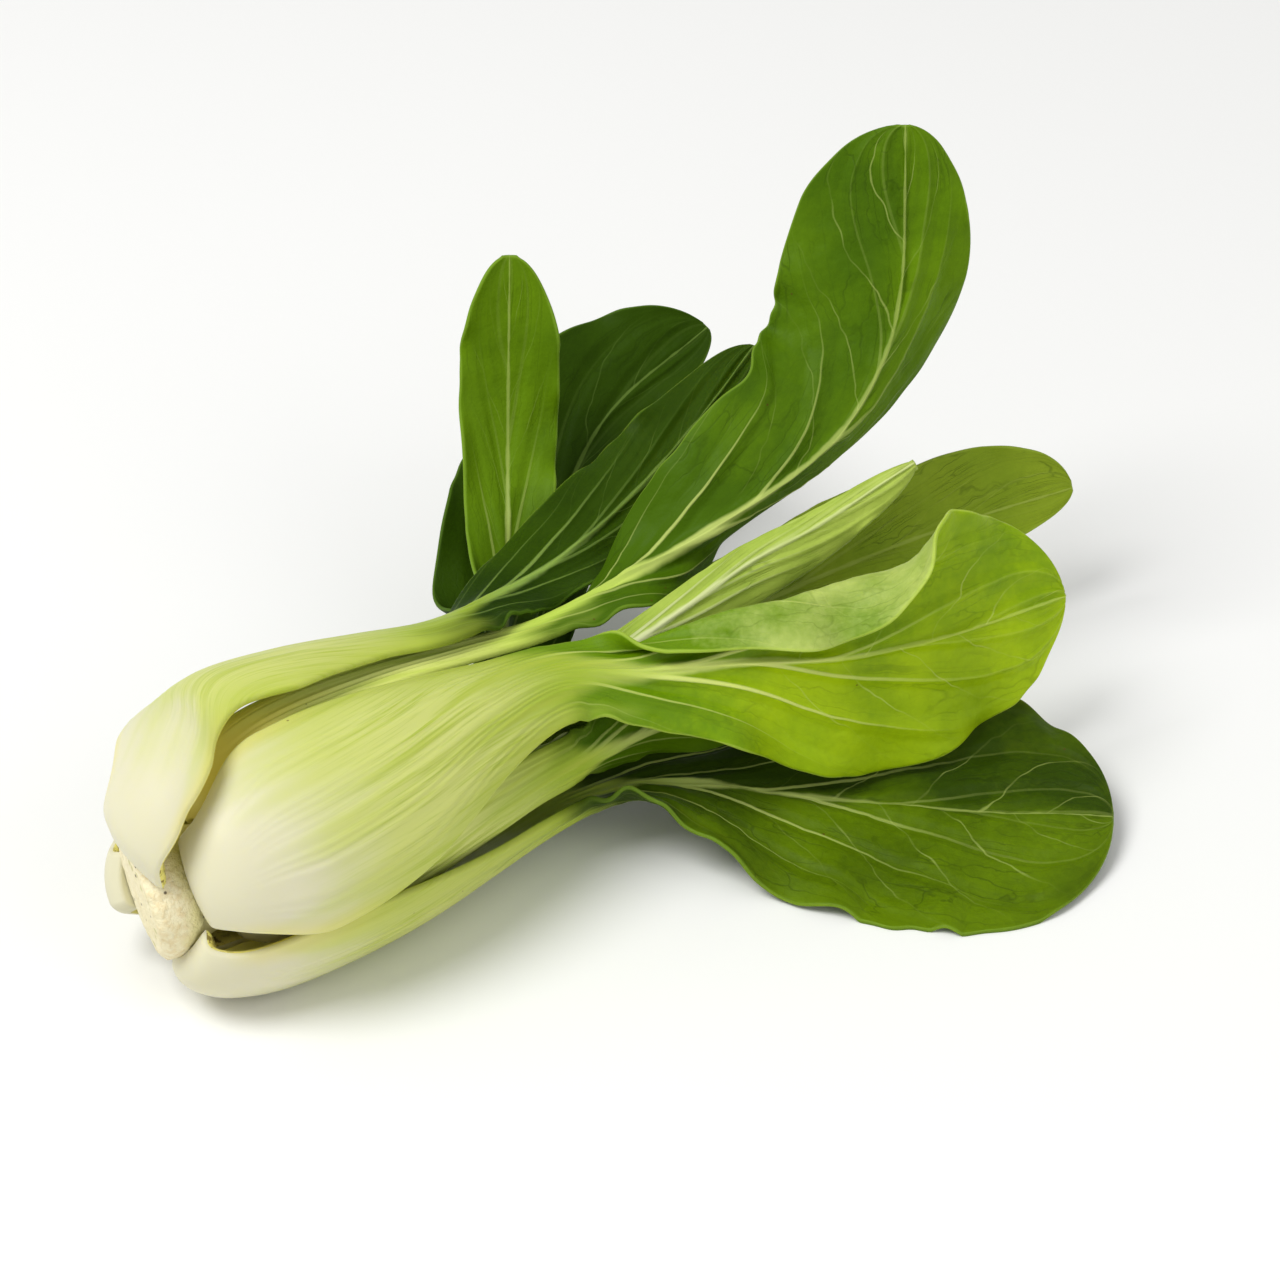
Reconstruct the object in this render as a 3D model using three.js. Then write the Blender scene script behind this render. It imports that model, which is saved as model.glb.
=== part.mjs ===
// A head of baby bok choy lying on its side. Millimetres, +Z up, the cut stump at -X and the blades at +X.
// Each leaf is one solid: a thick pale stalk that wraps round the head's axis
// and thins out into a waved blade.
// The leaves are laid out round the axis, which runs along X, and the whole head is then set on z = 0.
import * as THREE from 'three';

const axisHeight = 19.2;        // from the surface the head lies on up to its axis
const bladeThickness = 0.9;     // at the margin
const midribThickness = 1.5;    // along the middle of a blade
const stalkMargin = 1.2;        // at the thin sides of a stalk
const flatThickness = 0.7;      // least thickness of a blade where it lies flat on the surface
const ribHeight = 0.3;          // the ribs along the outside of a stalk
const mergeLength = 16;         // where the stalk, bent round the axis, passes into the free blade
const tipHalfWidth = 1.2;       // half-width of the blunt tip
const slimFrom = 0.18;          // a slim bulb is slimmest from this share of the way to the neck
const slimUntil = 0.3;          // up to this one
const slimEnd = 0.62;           // and has its full width again from here

// The stump. Pairs of distance along the axis and radius.
const crownProfile = [
  [-4.6, 0], [-4.6, 6], [-4.3, 8.8], [-3.4, 9.9], [-1.8, 10.2], [0.2, 9.9], [1.4, 9.3],
  [5.2, 8.6], [6.6, 7.8], [11.4, 7.2], [12.8, 5.2], [17.6, 4.6], [20.5, 3], [22, 0],
];
const crownSides = 22;
const cutSlant = [0.25, -0.16];   // how the cut face leans along Y and along Z

// Three whorls and the heart: where a stalk leaves the stump, and how thick it is.
const whorls = {
  outer: { baseX: -3.2, baseRadius: 10.9, thickness: 4.8 },
  middle: { baseX: 3.6, baseRadius: 10.7, thickness: 4.4 },
  inner: { baseX: 9.6, baseRadius: 8.6, thickness: 3.6 },
  heart: { baseX: 15.4, baseRadius: 6, thickness: 2.6 },
};

// later: how much further along the stump a leaf leaves than its whorl.
// angle: place round the axis in degrees, from +Y towards +Z, at the stump, the bulb and the neck.
// radius: distance of the stalk's middle from the axis, at the bulb and at the neck.
// neckX: where the stalk ends.
// half: half-width measured over the surface, at the bulb, the neck and the blade.
// slim: shares of that width at the stump and at the bulb, for the side before the midrib and the one after.
// sides: share of the blade's half-width on its two sides. blade: points along the midrib past the neck.
// facing: where the outer face of the blade looks. cup: how far the blade's sides bend inward, in radians.
// wave, waves: height and number of the waves in its margin. widest: where along the blade it is widest.
// spoon: 1 for a blade that widens at once, more for one that widens late.
// fold: one side bent by angle, in radians, between two shares of its width (from, to)
// and between two shares of the blade's length (after, until).
const leaves = {
  leaf_outer_front: {
    whorl: 'outer', later: 3.6, angle: [225, 238, 248], radius: [18.6, 13], neckX: 69, half: [16.6, 8.5, 27],
    sides: [0.95, 1], blade: [[84, -9, -11], [102, -22, -13.5], [122, -39, -15], [141, -55, -15]],
    facing: [0.06, 0.22, -0.97], cup: 0.05, wave: 1.6, waves: 5, widest: 0.72, spoon: 1.25, colour: 0x4f7a16,
  },
  leaf_outer_top: {
    whorl: 'outer', later: -1.8, angle: [100, 56, 58], radius: [26, 21], neckX: 57,
    half: [18.5, 7.5, 12], slim: [[1, 0.5], [1, 1]], sides: [0.6, 0.8],
    blade: [[73.6, 18, 14], [87, 22, 13.2], [98.5, 26, 13.5], [118.8, 31, 20], [139, 37, 29]],
    facing: [-0.5, -0.45, 0.75], cup: 0.2, wave: 1, waves: 4, widest: 0.58, spoon: 1, colour: 0x2c5208,
  },
  leaf_outer_back: {
    whorl: 'outer', later: 2.9, angle: [325, 330, 335], radius: [19.4, 16], neckX: 64,
    half: [15, 7, 18], slim: [[1, 1], [0.3, 0.5]], sides: [1, 0.5],
    blade: [[84, 30, -10], [102, 45, 0], [122, 56, 12], [145, 58, 21]],
    facing: [0.3, 0.6, -0.75], cup: 0.3, wave: 1.4, waves: 4, widest: 0.6, spoon: 1, colour: 0x2c5208,
  },
  leaf_middle_front: {
    whorl: 'middle', later: -2, angle: [145, 137, 114], radius: [21.5, 15.5], neckX: 68,
    half: [17.5, 7.5, 20], sides: [1, 1.1],
    blade: [[81, -11, 12.5], [95, -18, 13], [111, -23, 10.3], [129, -26, 8.9], [154, -26, 7]],
    facing: [-0.3, -0.88, 0.33], cup: 0.2, wave: 1.2, waves: 5, widest: 0.6, spoon: 1.5, colour: 0x6fa315,
    fold: { side: 1, angle: 2.75, from: 0.44, to: 0.62, after: 0.02, until: 0.7 },
  },
  leaf_middle_back: {
    whorl: 'middle', later: 0, angle: [-4, -8, 10], radius: [14.2, 12], neckX: 58,
    half: [12, 6, 8.5], sides: [1, 1],
    blade: [[74, 20, 3], [86, 34, 6], [97, 49, 20], [103.5, 57, 49]],
    facing: [0.35, 0.85, -0.4], cup: 0.4, wave: 1.2, waves: 3, widest: 0.78, spoon: 1.2, colour: 0x3a6a0c,
  },
  leaf_middle_under: {
    whorl: 'middle', later: 1, angle: [275, 281, 310], radius: [11.6, 9.4], neckX: 66,
    half: [8.6, 5.5, 12], sides: [0.8, 0.8],
    blade: [[92, 17, -15.5], [114, 21, -18.1], [136, 25, -18.7], [154, 27, -18.8]],
    facing: [0, 0, -1], cup: 0.1, wave: 0.8, waves: 4, widest: 0.58, spoon: 1.4, colour: 0x3a6a0c,
  },
  leaf_inner_front: {
    whorl: 'inner', later: 0, angle: [195, 200, 182], radius: [14, 9], neckX: 68,
    half: [10, 5, 7], sides: [1, 1],
    blade: [[88, -9, 0], [106, -12, -1.5], [122, -17, -1]],
    facing: [0.3, -0.9, 0.1], cup: 0.5, wave: 0.7, waves: 3, widest: 0.58, spoon: 1, colour: 0x5a8c14,
  },
  leaf_inner_upright: {
    whorl: 'inner', later: 0, angle: [66, 62, 60], radius: [19.3, 15.3], neckX: 74,
    half: [9.2, 5, 20], sides: [0.6, 1],
    blade: [
      [89, 7.4, 15.8], [98, 7.2, 17.8], [107, 5.4, 21.7], [125, 4.5, 27.5], [135, 5, 33.5],
      [142.5, 6.5, 42.5], [146.5, 8.5, 53], [149, 11.5, 64.5], [151, 14.5, 76],
    ],
    facing: [-0.55, -0.75, 0.3], cup: 0.3, wave: 1, waves: 4, widest: 0.74, spoon: 1, colour: 0x3f7d10,
    fold: { side: -1, angle: -1.1, from: 0, to: 0.2, after: 0.14, until: 0.78 },
  },
  leaf_inner_back: {
    whorl: 'heart', later: 0, angle: [0, 0, 0], radius: [7.4, 4.3], neckX: 70,
    half: [7.5, 4.5, 12.5], sides: [1, 0.5],
    blade: [[100, 8, 0], [130, 9, 1], [158, 6, 3], [180, 2, 4]],
    facing: [0.2, 0.9, -0.4], cup: 0.3, wave: 1, waves: 4, widest: 0.78, spoon: 1, colour: 0x7f9c4a,
  },
  leaf_heart: {
    whorl: 'heart', later: 0, angle: [110, 105, 100], radius: [9.5, 7.5], neckX: 60,
    half: [7.5, 4, 6.5], sides: [1, 0.5],
    blade: [
      [72, -2, 9.4], [83, -3.4, 12.6], [94, -3.6, 15.6], [106, -4, 19.4], [118, -6.5, 23.5], [135, -10, 31],
    ],
    facing: [-0.4, -0.7, 0.6], cup: 0.7, wave: 0.6, waves: 4, widest: 0.5, spoon: 1, colour: 0x9cc04a,
  },
};
const stations = 30;            // cross-sections along a leaf
const columns = 10;             // strips across a leaf
const arcSteps = 24;            // steps for bending a cross-section
const crowding = 0.07;          // how much closer the cross-sections stand near both ends

function smooth(low, high, value) {
  const k = THREE.MathUtils.clamp((value - low) / (high - low), 0, 1);
  return k * k * (3 - 2 * k);
}

// The stalk's middle line as distance along the axis and radius: out from the stump,
// round the bulb, to the neck.
function stalkProfile(leaf) {
  const { baseRadius } = whorls[leaf.whorl];
  const baseX = whorls[leaf.whorl].baseX + leaf.later;
  const [bulb, neck] = leaf.radius;
  const spread = bulb - baseRadius;
  const reach = Math.max(4, bulb * 0.8);
  const bulbX = baseX + reach;
  const length = leaf.neckX - bulbX;
  return [
    [baseX, baseRadius],
    [baseX - 0.8, baseRadius + spread * 0.28],
    [baseX + reach * 0.12, baseRadius + spread * 0.62],
    [baseX + reach * 0.5, baseRadius + spread * 0.88],
    [bulbX, bulb],
    [bulbX + length * 0.32, bulb - (bulb - neck) * 0.08],
    [bulbX + length * 0.66, bulb - (bulb - neck) * 0.55],
    [leaf.neckX, neck],
  ];
}

function aroundAxis(x, radius, degrees) {
  const angle = THREE.MathUtils.degToRad(degrees);
  return new THREE.Vector3(x, radius * Math.cos(angle), radius * Math.sin(angle));
}

// How far a stalk stands round the axis. It swings into place over the bulb and again towards the neck.
function stalkAngle(leaf, x) {
  const [base, bulb, neck] = leaf.angle;
  const round = THREE.MathUtils.lerp(base, bulb, smooth(-2, 16, x));
  return THREE.MathUtils.lerp(round, neck, smooth(18, leaf.neckX, x));
}

function midrib(leaf) {
  const stalk = stalkProfile(leaf).map(([x, radius]) => aroundAxis(x, radius, stalkAngle(leaf, x)));
  const blade = leaf.blade.map((point) => new THREE.Vector3(...point));
  const curve = new THREE.CatmullRomCurve3([...stalk, ...blade]);
  curve.arcLengthDivisions = 400;
  return { curve, neckParameter: (stalk.length - 1) / (stalk.length + blade.length - 1) };
}

function stationAt(i) {
  const k = i / (stations - 1);
  return k - crowding * Math.sin(2 * Math.PI * k);
}

// Away from the head's axis, and square to the stalk's run.
function stalkOutward(point, along) {
  const radial = new THREE.Vector3(0, point.y, point.z).normalize();
  const rise = along.dot(radial);
  return radial.multiplyScalar(along.x).add(new THREE.Vector3(-rise, 0, 0));
}

// Directions along the midrib, outward and across. Past the neck, outward leans over to the blade's facing.
function carryFrames(leaf, curve, neckU) {
  const facing = new THREE.Vector3(...leaf.facing).normalize();
  const frames = [];
  let carried = null;
  for (let i = 0; i < stations; i += 1) {
    const u = stationAt(i);
    const point = curve.getPointAt(u);
    const along = curve.getTangentAt(u);
    carried = u < neckU ? stalkOutward(point, along) : carried;
    const outward = carried.clone().lerp(facing, smooth(neckU, neckU + 0.25, u));
    outward.addScaledVector(along, -outward.dot(along)).normalize();
    frames.push({ point, outward, across: outward.clone().cross(along) });
  }
  return frames;
}

function halfWidth(leaf, u, neckU) {
  const [bulb, neck, blade] = leaf.half;
  if (u < neckU) {
    const k = u / neckU;
    const base = whorls[leaf.whorl].baseRadius * 0.68;
    const swelling = THREE.MathUtils.lerp(base, bulb, smooth(0, 0.3, k));
    return THREE.MathUtils.lerp(swelling, neck, smooth(0.35, 1, k));
  }
  const q = (u - neckU) / (1 - neckU);
  const { widest, spoon } = leaf;
  const past = Math.min(1, Math.max(0, (q - widest) / (1 - widest)));
  const opening = Math.sin(Math.PI / 2 * Math.min(1, q / widest) ** spoon);
  const outline = q > widest ? Math.sqrt(1 - past ** 2) : opening;
  return Math.max(tipHalfWidth, neck * (1 - q) ** 3 + blade * outline);
}

function foldAngle(leaf, side, t, q) {
  const fold = leaf.fold;
  if (!fold || fold.side !== side) {
    return 0;
  }
  const opening = smooth(fold.after, fold.after + 0.18, q);
  const closing = smooth(fold.until - 0.25, fold.until + 0.15, q);
  return fold.angle * opening * (1 - closing) * smooth(fold.from, fold.to, t);
}

// A point of the free blade, bent away from its midrib by the cup and the fold.
function bladePoint(leaf, frame, width, t, q, cup) {
  const side = Math.sign(t) || 1;
  const share = THREE.MathUtils.lerp(1, leaf.sides[side > 0 ? 1 : 0], smooth(0, 0.3, q));
  const reach = width * share;
  const point = frame.point.clone();
  const step = Math.abs(t) / arcSteps;
  for (let i = 0; i < arcSteps; i += 1) {
    const here = (i + 0.5) * step;
    const angle = foldAngle(leaf, side, here, q) - cup * here;
    point.addScaledVector(frame.across, side * reach * step * Math.cos(angle));
    point.addScaledVector(frame.outward, reach * step * Math.sin(angle));
  }
  const swing = Math.sin(2 * Math.PI * leaf.waves * q + side * 1.3) * leaf.wave * smooth(0, 0.25, q);
  return point.addScaledVector(frame.outward, swing * Math.abs(t) ** 3 * (1 - smooth(0.85, 1, q)));
}

// How much of its width the stalk has on one side, k being the share of the way to the neck.
function stalkShare(leaf, t, k) {
  const [stump, bulb] = leaf.slim?.[t < 0 ? 0 : 1] ?? [1, 1];
  const share = THREE.MathUtils.lerp(stump, bulb, smooth(0, slimFrom, k));
  return THREE.MathUtils.lerp(share, 1, smooth(slimUntil, slimEnd, k));
}

// A point of the stalk, bent round the axis of the head.
function stalkPoint(frame, width, t) {
  const { x, y, z } = frame.point;
  const radius = Math.hypot(y, z);
  const angle = Math.atan2(z, y) - t * width / radius;
  return new THREE.Vector3(x, radius * Math.cos(angle), radius * Math.sin(angle));
}

function middleSurface(leaf) {
  const { curve, neckParameter } = midrib(leaf);
  const length = curve.getLength();
  const lengths = curve.getLengths();
  const neckU = lengths[Math.round(neckParameter * (lengths.length - 1))] / length;
  const frames = carryFrames(leaf, curve, neckU);
  return frames.map((frame, i) => {
    const u = stationAt(i);
    const q = Math.max(0, (u - neckU) / (1 - neckU));
    const width = halfWidth(leaf, u, neckU);
    const free = smooth(neckU - mergeLength / length, neckU, u);
    const cup = THREE.MathUtils.lerp(width / leaf.radius[1], leaf.cup, smooth(0, 0.3, q));
    const row = [];
    for (let j = 0; j <= columns; j += 1) {
      const t = 2 * j / columns - 1;
      const point = bladePoint(leaf, frame, width, t, q, cup);
      const reach = t * stalkShare(leaf, t, u / neckU);
      row.push(free < 1 ? stalkPoint(frame, width, reach).lerp(point, free) : point);
    }
    return { row, q, u, neckU };
  });
}

function surfaceNormal(rows, i, j) {
  const before = rows[Math.max(0, i - 1)].row[j];
  const after = rows[Math.min(rows.length - 1, i + 1)].row[j];
  const left = rows[i].row[Math.max(0, j - 1)];
  const right = rows[i].row[Math.min(columns, j + 1)];
  return right.clone().sub(left).cross(before.clone().sub(after)).normalize();
}

function thicknessAt(leaf, t, u, neckU) {
  const stalk = whorls[leaf.whorl].thickness;
  const left = 1 - smooth(neckU * 0.45, neckU + 0.16, u);
  const middle = THREE.MathUtils.lerp(midribThickness, stalk, left);
  const edge = THREE.MathUtils.lerp(bladeThickness, stalkMargin, left);
  return edge + (middle - edge) * (1 - Math.abs(t) ** THREE.MathUtils.lerp(0.6, 2, left));
}

// The two faces of a leaf, with what would sink into the resting surface lifted to lie flat on it.
function leafFaces(leaf) {
  const rows = middleSurface(leaf);
  const outer = [];
  const inner = [];
  rows.forEach(({ row, u, neckU }, i) => {
    row.forEach((point, j) => {
      const t = 2 * j / columns - 1;
      const normal = surfaceNormal(rows, i, j);
      const half = thicknessAt(leaf, t, u, neckU) / 2;
      const rib = j % 2 === 1 ? ribHeight * smooth(0.1, 0.25, u) * (1 - smooth(neckU, neckU + 0.1, u)) : 0;
      const out = point.clone().addScaledVector(normal, half + rib);
      const into = point.clone().addScaledVector(normal, -half);
      const lower = out.z < into.z ? out : into;
      const upper = out.z < into.z ? into : out;
      lower.z = Math.max(lower.z, -axisHeight);
      upper.z = Math.max(upper.z, flatThickness - axisHeight);
      outer.push(out);
      inner.push(into);
    });
  });
  return { outer, inner };
}

function addQuad(index, a, b, c, d) {
  index.push(a, b, c, a, c, d);
}

// Both faces use the same diagonals, so a waved blade keeps its thickness everywhere.
function leafGeometry(leaf) {
  const { outer, inner } = leafFaces(leaf);
  const across = columns + 1;
  const shift = inner.length;
  const index = [];
  for (let i = 0; i < stations - 1; i += 1) {
    for (let j = 0; j < columns; j += 1) {
      const a = i * across + j;
      addQuad(index, a, a + 1, a + across + 1, a + across);
      index.push(shift + a, shift + a + across + 1, shift + a + 1);
      index.push(shift + a, shift + a + across, shift + a + across + 1);
    }
    const first = i * across;
    const last = first + columns;
    addQuad(index, first, first + across, shift + first + across, shift + first);
    addQuad(index, last, shift + last, shift + last + across, last + across);
  }
  const end = (stations - 1) * across;
  for (let j = 0; j < columns; j += 1) {
    addQuad(index, j, shift + j, shift + j + 1, j + 1);
    addQuad(index, end + j, end + j + 1, shift + end + j + 1, shift + end + j);
  }
  const geometry = new THREE.BufferGeometry().setFromPoints([...inner, ...outer]);
  geometry.setIndex(index);
  return geometry;
}

// The knife went through a little askew.
function slantCut(position) {
  for (let i = 0; i < position.count; i += 1) {
    const x = position.getX(i);
    const lean = cutSlant[0] * position.getY(i) + cutSlant[1] * position.getZ(i);
    position.setX(i, x + lean * smooth(-0.5, crownProfile[0][0], x));
  }
}

function crownMesh() {
  const points = crownProfile.map(([x, radius]) => new THREE.Vector2(radius, x));
  const geometry = new THREE.LatheGeometry(points, crownSides);
  geometry.rotateZ(-Math.PI / 2);
  slantCut(geometry.attributes.position);
  const material = new THREE.MeshStandardMaterial({ color: 0xe1cdaa, roughness: 0.8, metalness: 0 });
  const mesh = new THREE.Mesh(geometry, material);
  mesh.name = 'crown';
  return mesh;
}

function leafMesh(name, leaf) {
  const material = new THREE.MeshStandardMaterial({ color: leaf.colour, roughness: 0.45, metalness: 0 });
  const mesh = new THREE.Mesh(leafGeometry(leaf), material);
  mesh.name = name;
  return mesh;
}

// The middle of the box is set over the origin, and the resting surface is z = 0.
function setDown(group) {
  group.updateMatrixWorld(true);
  const centre = new THREE.Box3().setFromObject(group).getCenter(new THREE.Vector3());
  group.position.set(-centre.x, -centre.y, axisHeight);
}

const bokChoy = new THREE.Group();
bokChoy.add(crownMesh());
for (const [name, leaf] of Object.entries(leaves)) {
  bokChoy.add(leafMesh(name, leaf));
}
setDown(bokChoy);

export default bokChoy;
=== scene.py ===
import math

import bpy
import numpy as np
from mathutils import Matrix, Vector


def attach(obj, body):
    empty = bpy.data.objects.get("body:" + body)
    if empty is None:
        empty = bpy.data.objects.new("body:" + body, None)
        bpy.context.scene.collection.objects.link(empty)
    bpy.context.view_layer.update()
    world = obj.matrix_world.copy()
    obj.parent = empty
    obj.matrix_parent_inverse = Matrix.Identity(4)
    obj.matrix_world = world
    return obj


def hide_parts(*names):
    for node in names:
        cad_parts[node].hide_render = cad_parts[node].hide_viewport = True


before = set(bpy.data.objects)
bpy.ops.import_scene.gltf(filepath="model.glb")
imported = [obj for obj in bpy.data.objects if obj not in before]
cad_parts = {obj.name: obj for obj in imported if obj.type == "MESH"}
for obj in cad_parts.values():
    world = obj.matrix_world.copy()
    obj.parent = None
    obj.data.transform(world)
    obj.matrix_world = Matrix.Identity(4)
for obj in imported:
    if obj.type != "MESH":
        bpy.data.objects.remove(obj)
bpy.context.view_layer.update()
print("Frame loaded:", len(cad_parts), "nodes")

# The leaves are laid out in millimetres round the axis of the head, as it grew.
headShift = np.array([-85.97, -1.61, 19.2])  # from there to the place on the floor
millimetre = 0.001  # in metres


def smooth(low, high, value):
    k = np.clip((np.asarray(value, float) - low) / (high - low), 0, 1)
    return k * k * (3 - 2 * k)


def lerp(a, b, k):
    return a + (b - a) * k


def unit(vectors):
    return vectors / np.maximum(np.linalg.norm(vectors, axis=-1, keepdims=True), 1e-9)


def tint(red, green, blue):
    # screen colour 0..255 to the linear colour that the nodes want
    shares = [value / 255 for value in (red, green, blue)]
    linear = [share / 12.92 if share <= 0.04 else ((share + 0.055) / 1.055) ** 2.4 for share in shares]
    return (*linear, 1)


def plug(tree, socket, value):
    if isinstance(value, bpy.types.NodeSocket):
        tree.links.new(value, socket)
    else:
        socket.default_value = value


def plugAll(tree, node, values):
    for key, value in values.items():
        plug(tree, node.inputs[key], value)


def addNode(tree, kind, values, **settings):
    node = tree.nodes.new(kind)
    for name, value in settings.items():
        setattr(node, name, value)
    plugAll(tree, node, values)
    return node


def calc(tree, operation, *values):
    return addNode(tree, "ShaderNodeMath", dict(enumerate(values)), operation=operation).outputs[0]


def rise(tree, value, low, high, start=0.0, end=1.0):
    # soft step from start to end while value goes from low to high
    values = dict(enumerate((value, low, high, start, end)))
    return addNode(tree, "ShaderNodeMapRange", values, interpolation_type="SMOOTHSTEP").outputs[0]


def fall(tree, value, low, high):
    return rise(tree, value, low, high, 1.0, 0.0)


def product(tree, first, *others):
    for other in others:
        first = calc(tree, "MULTIPLY", first, other)
    return first


def total(tree, first, *others):
    for other in others:
        first = calc(tree, "ADD", first, other)
    return first


def split(tree, vector):
    return tuple(addNode(tree, "ShaderNodeSeparateXYZ", {0: vector}).outputs)


def join(tree, x, y, z):
    return addNode(tree, "ShaderNodeCombineXYZ", {"X": x, "Y": y, "Z": z}).outputs[0]


def addSockets(tree, way, kind, *names):
    for name in names:
        tree.interface.new_socket(name=name, in_out=way, socket_type="NodeSocket" + kind)


def addObject(name, data):
    thing = bpy.data.objects.new(name, data)
    bpy.context.scene.collection.objects.link(thing)
    return thing


def newMaterial(name):
    material = bpy.data.materials.new(name)
    material.use_nodes = True
    return material, material.node_tree, material.node_tree.nodes["Principled BSDF"]


def setSurface(tree, shader, colour, roughness, height, bumpDepth, bumpStrength=1.0):
    values = {"Distance": bumpDepth, "Strength": bumpStrength, "Height": height}
    normal = addNode(tree, "ShaderNodeBump", values).outputs["Normal"]
    plugAll(tree, shader, {"Base Color": colour, "Roughness": roughness, "Normal": normal})


def vectorCalc(tree, operation, *values):
    node = addNode(tree, "ShaderNodeVectorMath", {}, operation=operation)
    used = [socket for socket in node.inputs if socket.enabled]  # those of this operation
    for socket, value in zip(used, values):
        plug(tree, socket, value)
    return node.outputs[0]


def centred(tree, value, strength=1.0):
    # a noise of 0..1 made to swing round zero
    return product(tree, calc(tree, "SUBTRACT", value, 0.5), strength)


def offLine(tree, phase):
    # 0 on the lines that lie half-way between whole numbers
    return calc(tree, "ABSOLUTE", centred(tree, calc(tree, "FRACT", phase)))


def noise(tree, vector, scale, detail=2.0, roughness=0.5):
    values = {"Vector": vector, "Scale": scale, "Detail": detail, "Roughness": roughness}
    return addNode(tree, "ShaderNodeTexNoise", values).outputs[0]


def voronoi(tree, vector, scale, feature="F1"):
    values = {"Vector": vector, "Scale": scale}
    return addNode(tree, "ShaderNodeTexVoronoi", values, feature=feature).outputs["Distance"]


def mixColour(tree, factor, first, second):
    # a Mix node has its colours in sockets 6 and 7 and gives one in socket 2
    return addNode(tree, "ShaderNodeMix", {0: factor, 6: first, 7: second}, data_type="RGBA").outputs[2]


whorls = {
    "outer": {"baseX": -3.2, "baseRadius": 10.9, "thickness": 4.8},
    "middle": {"baseX": 3.6, "baseRadius": 10.7, "thickness": 4.4},
    "inner": {"baseX": 9.6, "baseRadius": 8.6, "thickness": 3.6},
    "heart": {"baseX": 15.4, "baseRadius": 6.0, "thickness": 2.6},
}
leafBuild = {
    "turns": (-2, 16, 18),  # x where the angle of a stalk starts to turn, stops, and turns on
    "foot": (0.8, 0.28),  # how far a stalk bulges back at once, and its share of the way out there
    "bulbReach": 0.8,  # how far up a bulb is widest, as a share of its radius
    "bulbCurve": [(0.12, 0.62), (0.5, 0.88)],  # from stump to bulb: shares of the way along and out
    "neckCurve": [(0.32, 0.08), (0.66, 0.55)],  # the same from bulb to neck
    "widens": (0, 0.3), "narrows": (0.35, 1),  # shares of a stalk where its width changes
    "stumpHalf": 0.68,  # half width at the stump, as a share of its radius
    "pathSteps": 240,  # points of the midrib between two of its given ones
    "mergeLength": 16.0,  # where the stalk, bent round the axis, passes into the free blade
    "tissue": 0.75,  # thickness of a blade between its veins
    "stalkMargin": 1.2,
    "rimRound": 0.5,  # how wide the rounding along an edge is
    "marginColumns": (0.97, 0.988),  # where the even columns end, and one more for the rounding
    "tipHalfWidth": 1.2,
    "flatThickness": 0.7,
    "bendSteps": 96,  # steps for bending a cross-section
    "crowding": 0.07,  # cross-sections stand closer near both ends
    "swingTurn": 1.3,  # how far the waves of the two sides stand apart
    "ruffle": 0.5,  # small uneven waves along the margin
    "ruffleRate": 37,
    "frill": 0.8,  # tight ruffles where the blade begins
    "frillRate": 75,
    "scallopRate": 23,  # swings of the outline
    "notch": 0.35,  # finer notches in it
    "notchRate": 67,
    "veinWander": 0.05,  # how far veins stray, in spaces between them
    "veinUneven": 0.035,  # and as a share of the blade's length
    "veinSpacing": (0.5, 20),
    "slim": (0.18, 0.3, 0.62),  # shares of the stalk: a slim bulb begins, starts to widen, is wide again
}


def stalkControls(leaf):
    whorl = whorls[leaf["whorl"]]
    baseX = whorl["baseX"] + leaf["later"]
    baseRadius = whorl["baseRadius"]
    bulb, neck = leaf["radius"]
    bulbX = baseX + bulb * leafBuild["bulbReach"]
    neckX = leaf["neckX"]
    footBack, footOut = leafBuild["foot"]
    profile = [(baseX, baseRadius), (baseX - footBack, lerp(baseRadius, bulb, footOut))]
    profile += [(lerp(baseX, bulbX, way), lerp(baseRadius, bulb, out)) for way, out in leafBuild["bulbCurve"]]
    profile += [(bulbX, bulb)]
    profile += [(lerp(bulbX, neckX, way), lerp(bulb, neck, out)) for way, out in leafBuild["neckCurve"]]
    x, radius = np.array(profile + [(neckX, neck)], float).T
    low, middle, high = leaf["angle"]
    turnFrom, turnTo, lastTurn = leafBuild["turns"]
    angle = lerp(lerp(low, middle, smooth(turnFrom, turnTo, x)), high, smooth(lastTurn, neckX, x))
    angle = np.radians(angle)
    return np.column_stack([x, radius * np.cos(angle), radius * np.sin(angle)])


def smoothPath(controls):
    # a curve through all the points that doesn't overshoot where they stand unevenly
    pieces = []
    last = len(controls) - 1
    for k in range(last):
        p1, p2 = controls[k], controls[k + 1]
        p0 = controls[k - 1] if k > 0 else 2 * p1 - p2
        p3 = controls[k + 2] if k + 2 <= last else 2 * p2 - p1
        d0, d1, d2 = (np.linalg.norm(b - a) ** 0.5 for a, b in ((p0, p1), (p1, p2), (p2, p3)))
        t1 = ((p1 - p0) / d0 - (p2 - p0) / (d0 + d1) + (p2 - p1) / d1) * d1
        t2 = ((p2 - p1) / d1 - (p3 - p1) / (d1 + d2) + (p3 - p2) / d2) * d1
        w = np.linspace(0, 1, leafBuild["pathSteps"], endpoint=False)[:, None]
        pieces.append(p1 + t1 * w + (3 * (p2 - p1) - 2 * t1 - t2) * w**2 + (2 * (p1 - p2) + t1 + t2) * w**3)
    pieces.append(controls[-1:])
    return np.vstack(pieces)


def midrib(leaf):
    stalk = stalkControls(leaf)
    path = smoothPath(np.vstack([stalk, np.array(leaf["blade"], float)]))
    steps = np.linalg.norm(np.diff(path, axis=0), axis=1)
    distance = np.concatenate([[0], np.cumsum(steps)])
    length = distance[-1]
    neckU = distance[(len(stalk) - 1) * leafBuild["pathSteps"]] / length
    return path, distance / length, length, neckU


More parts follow.
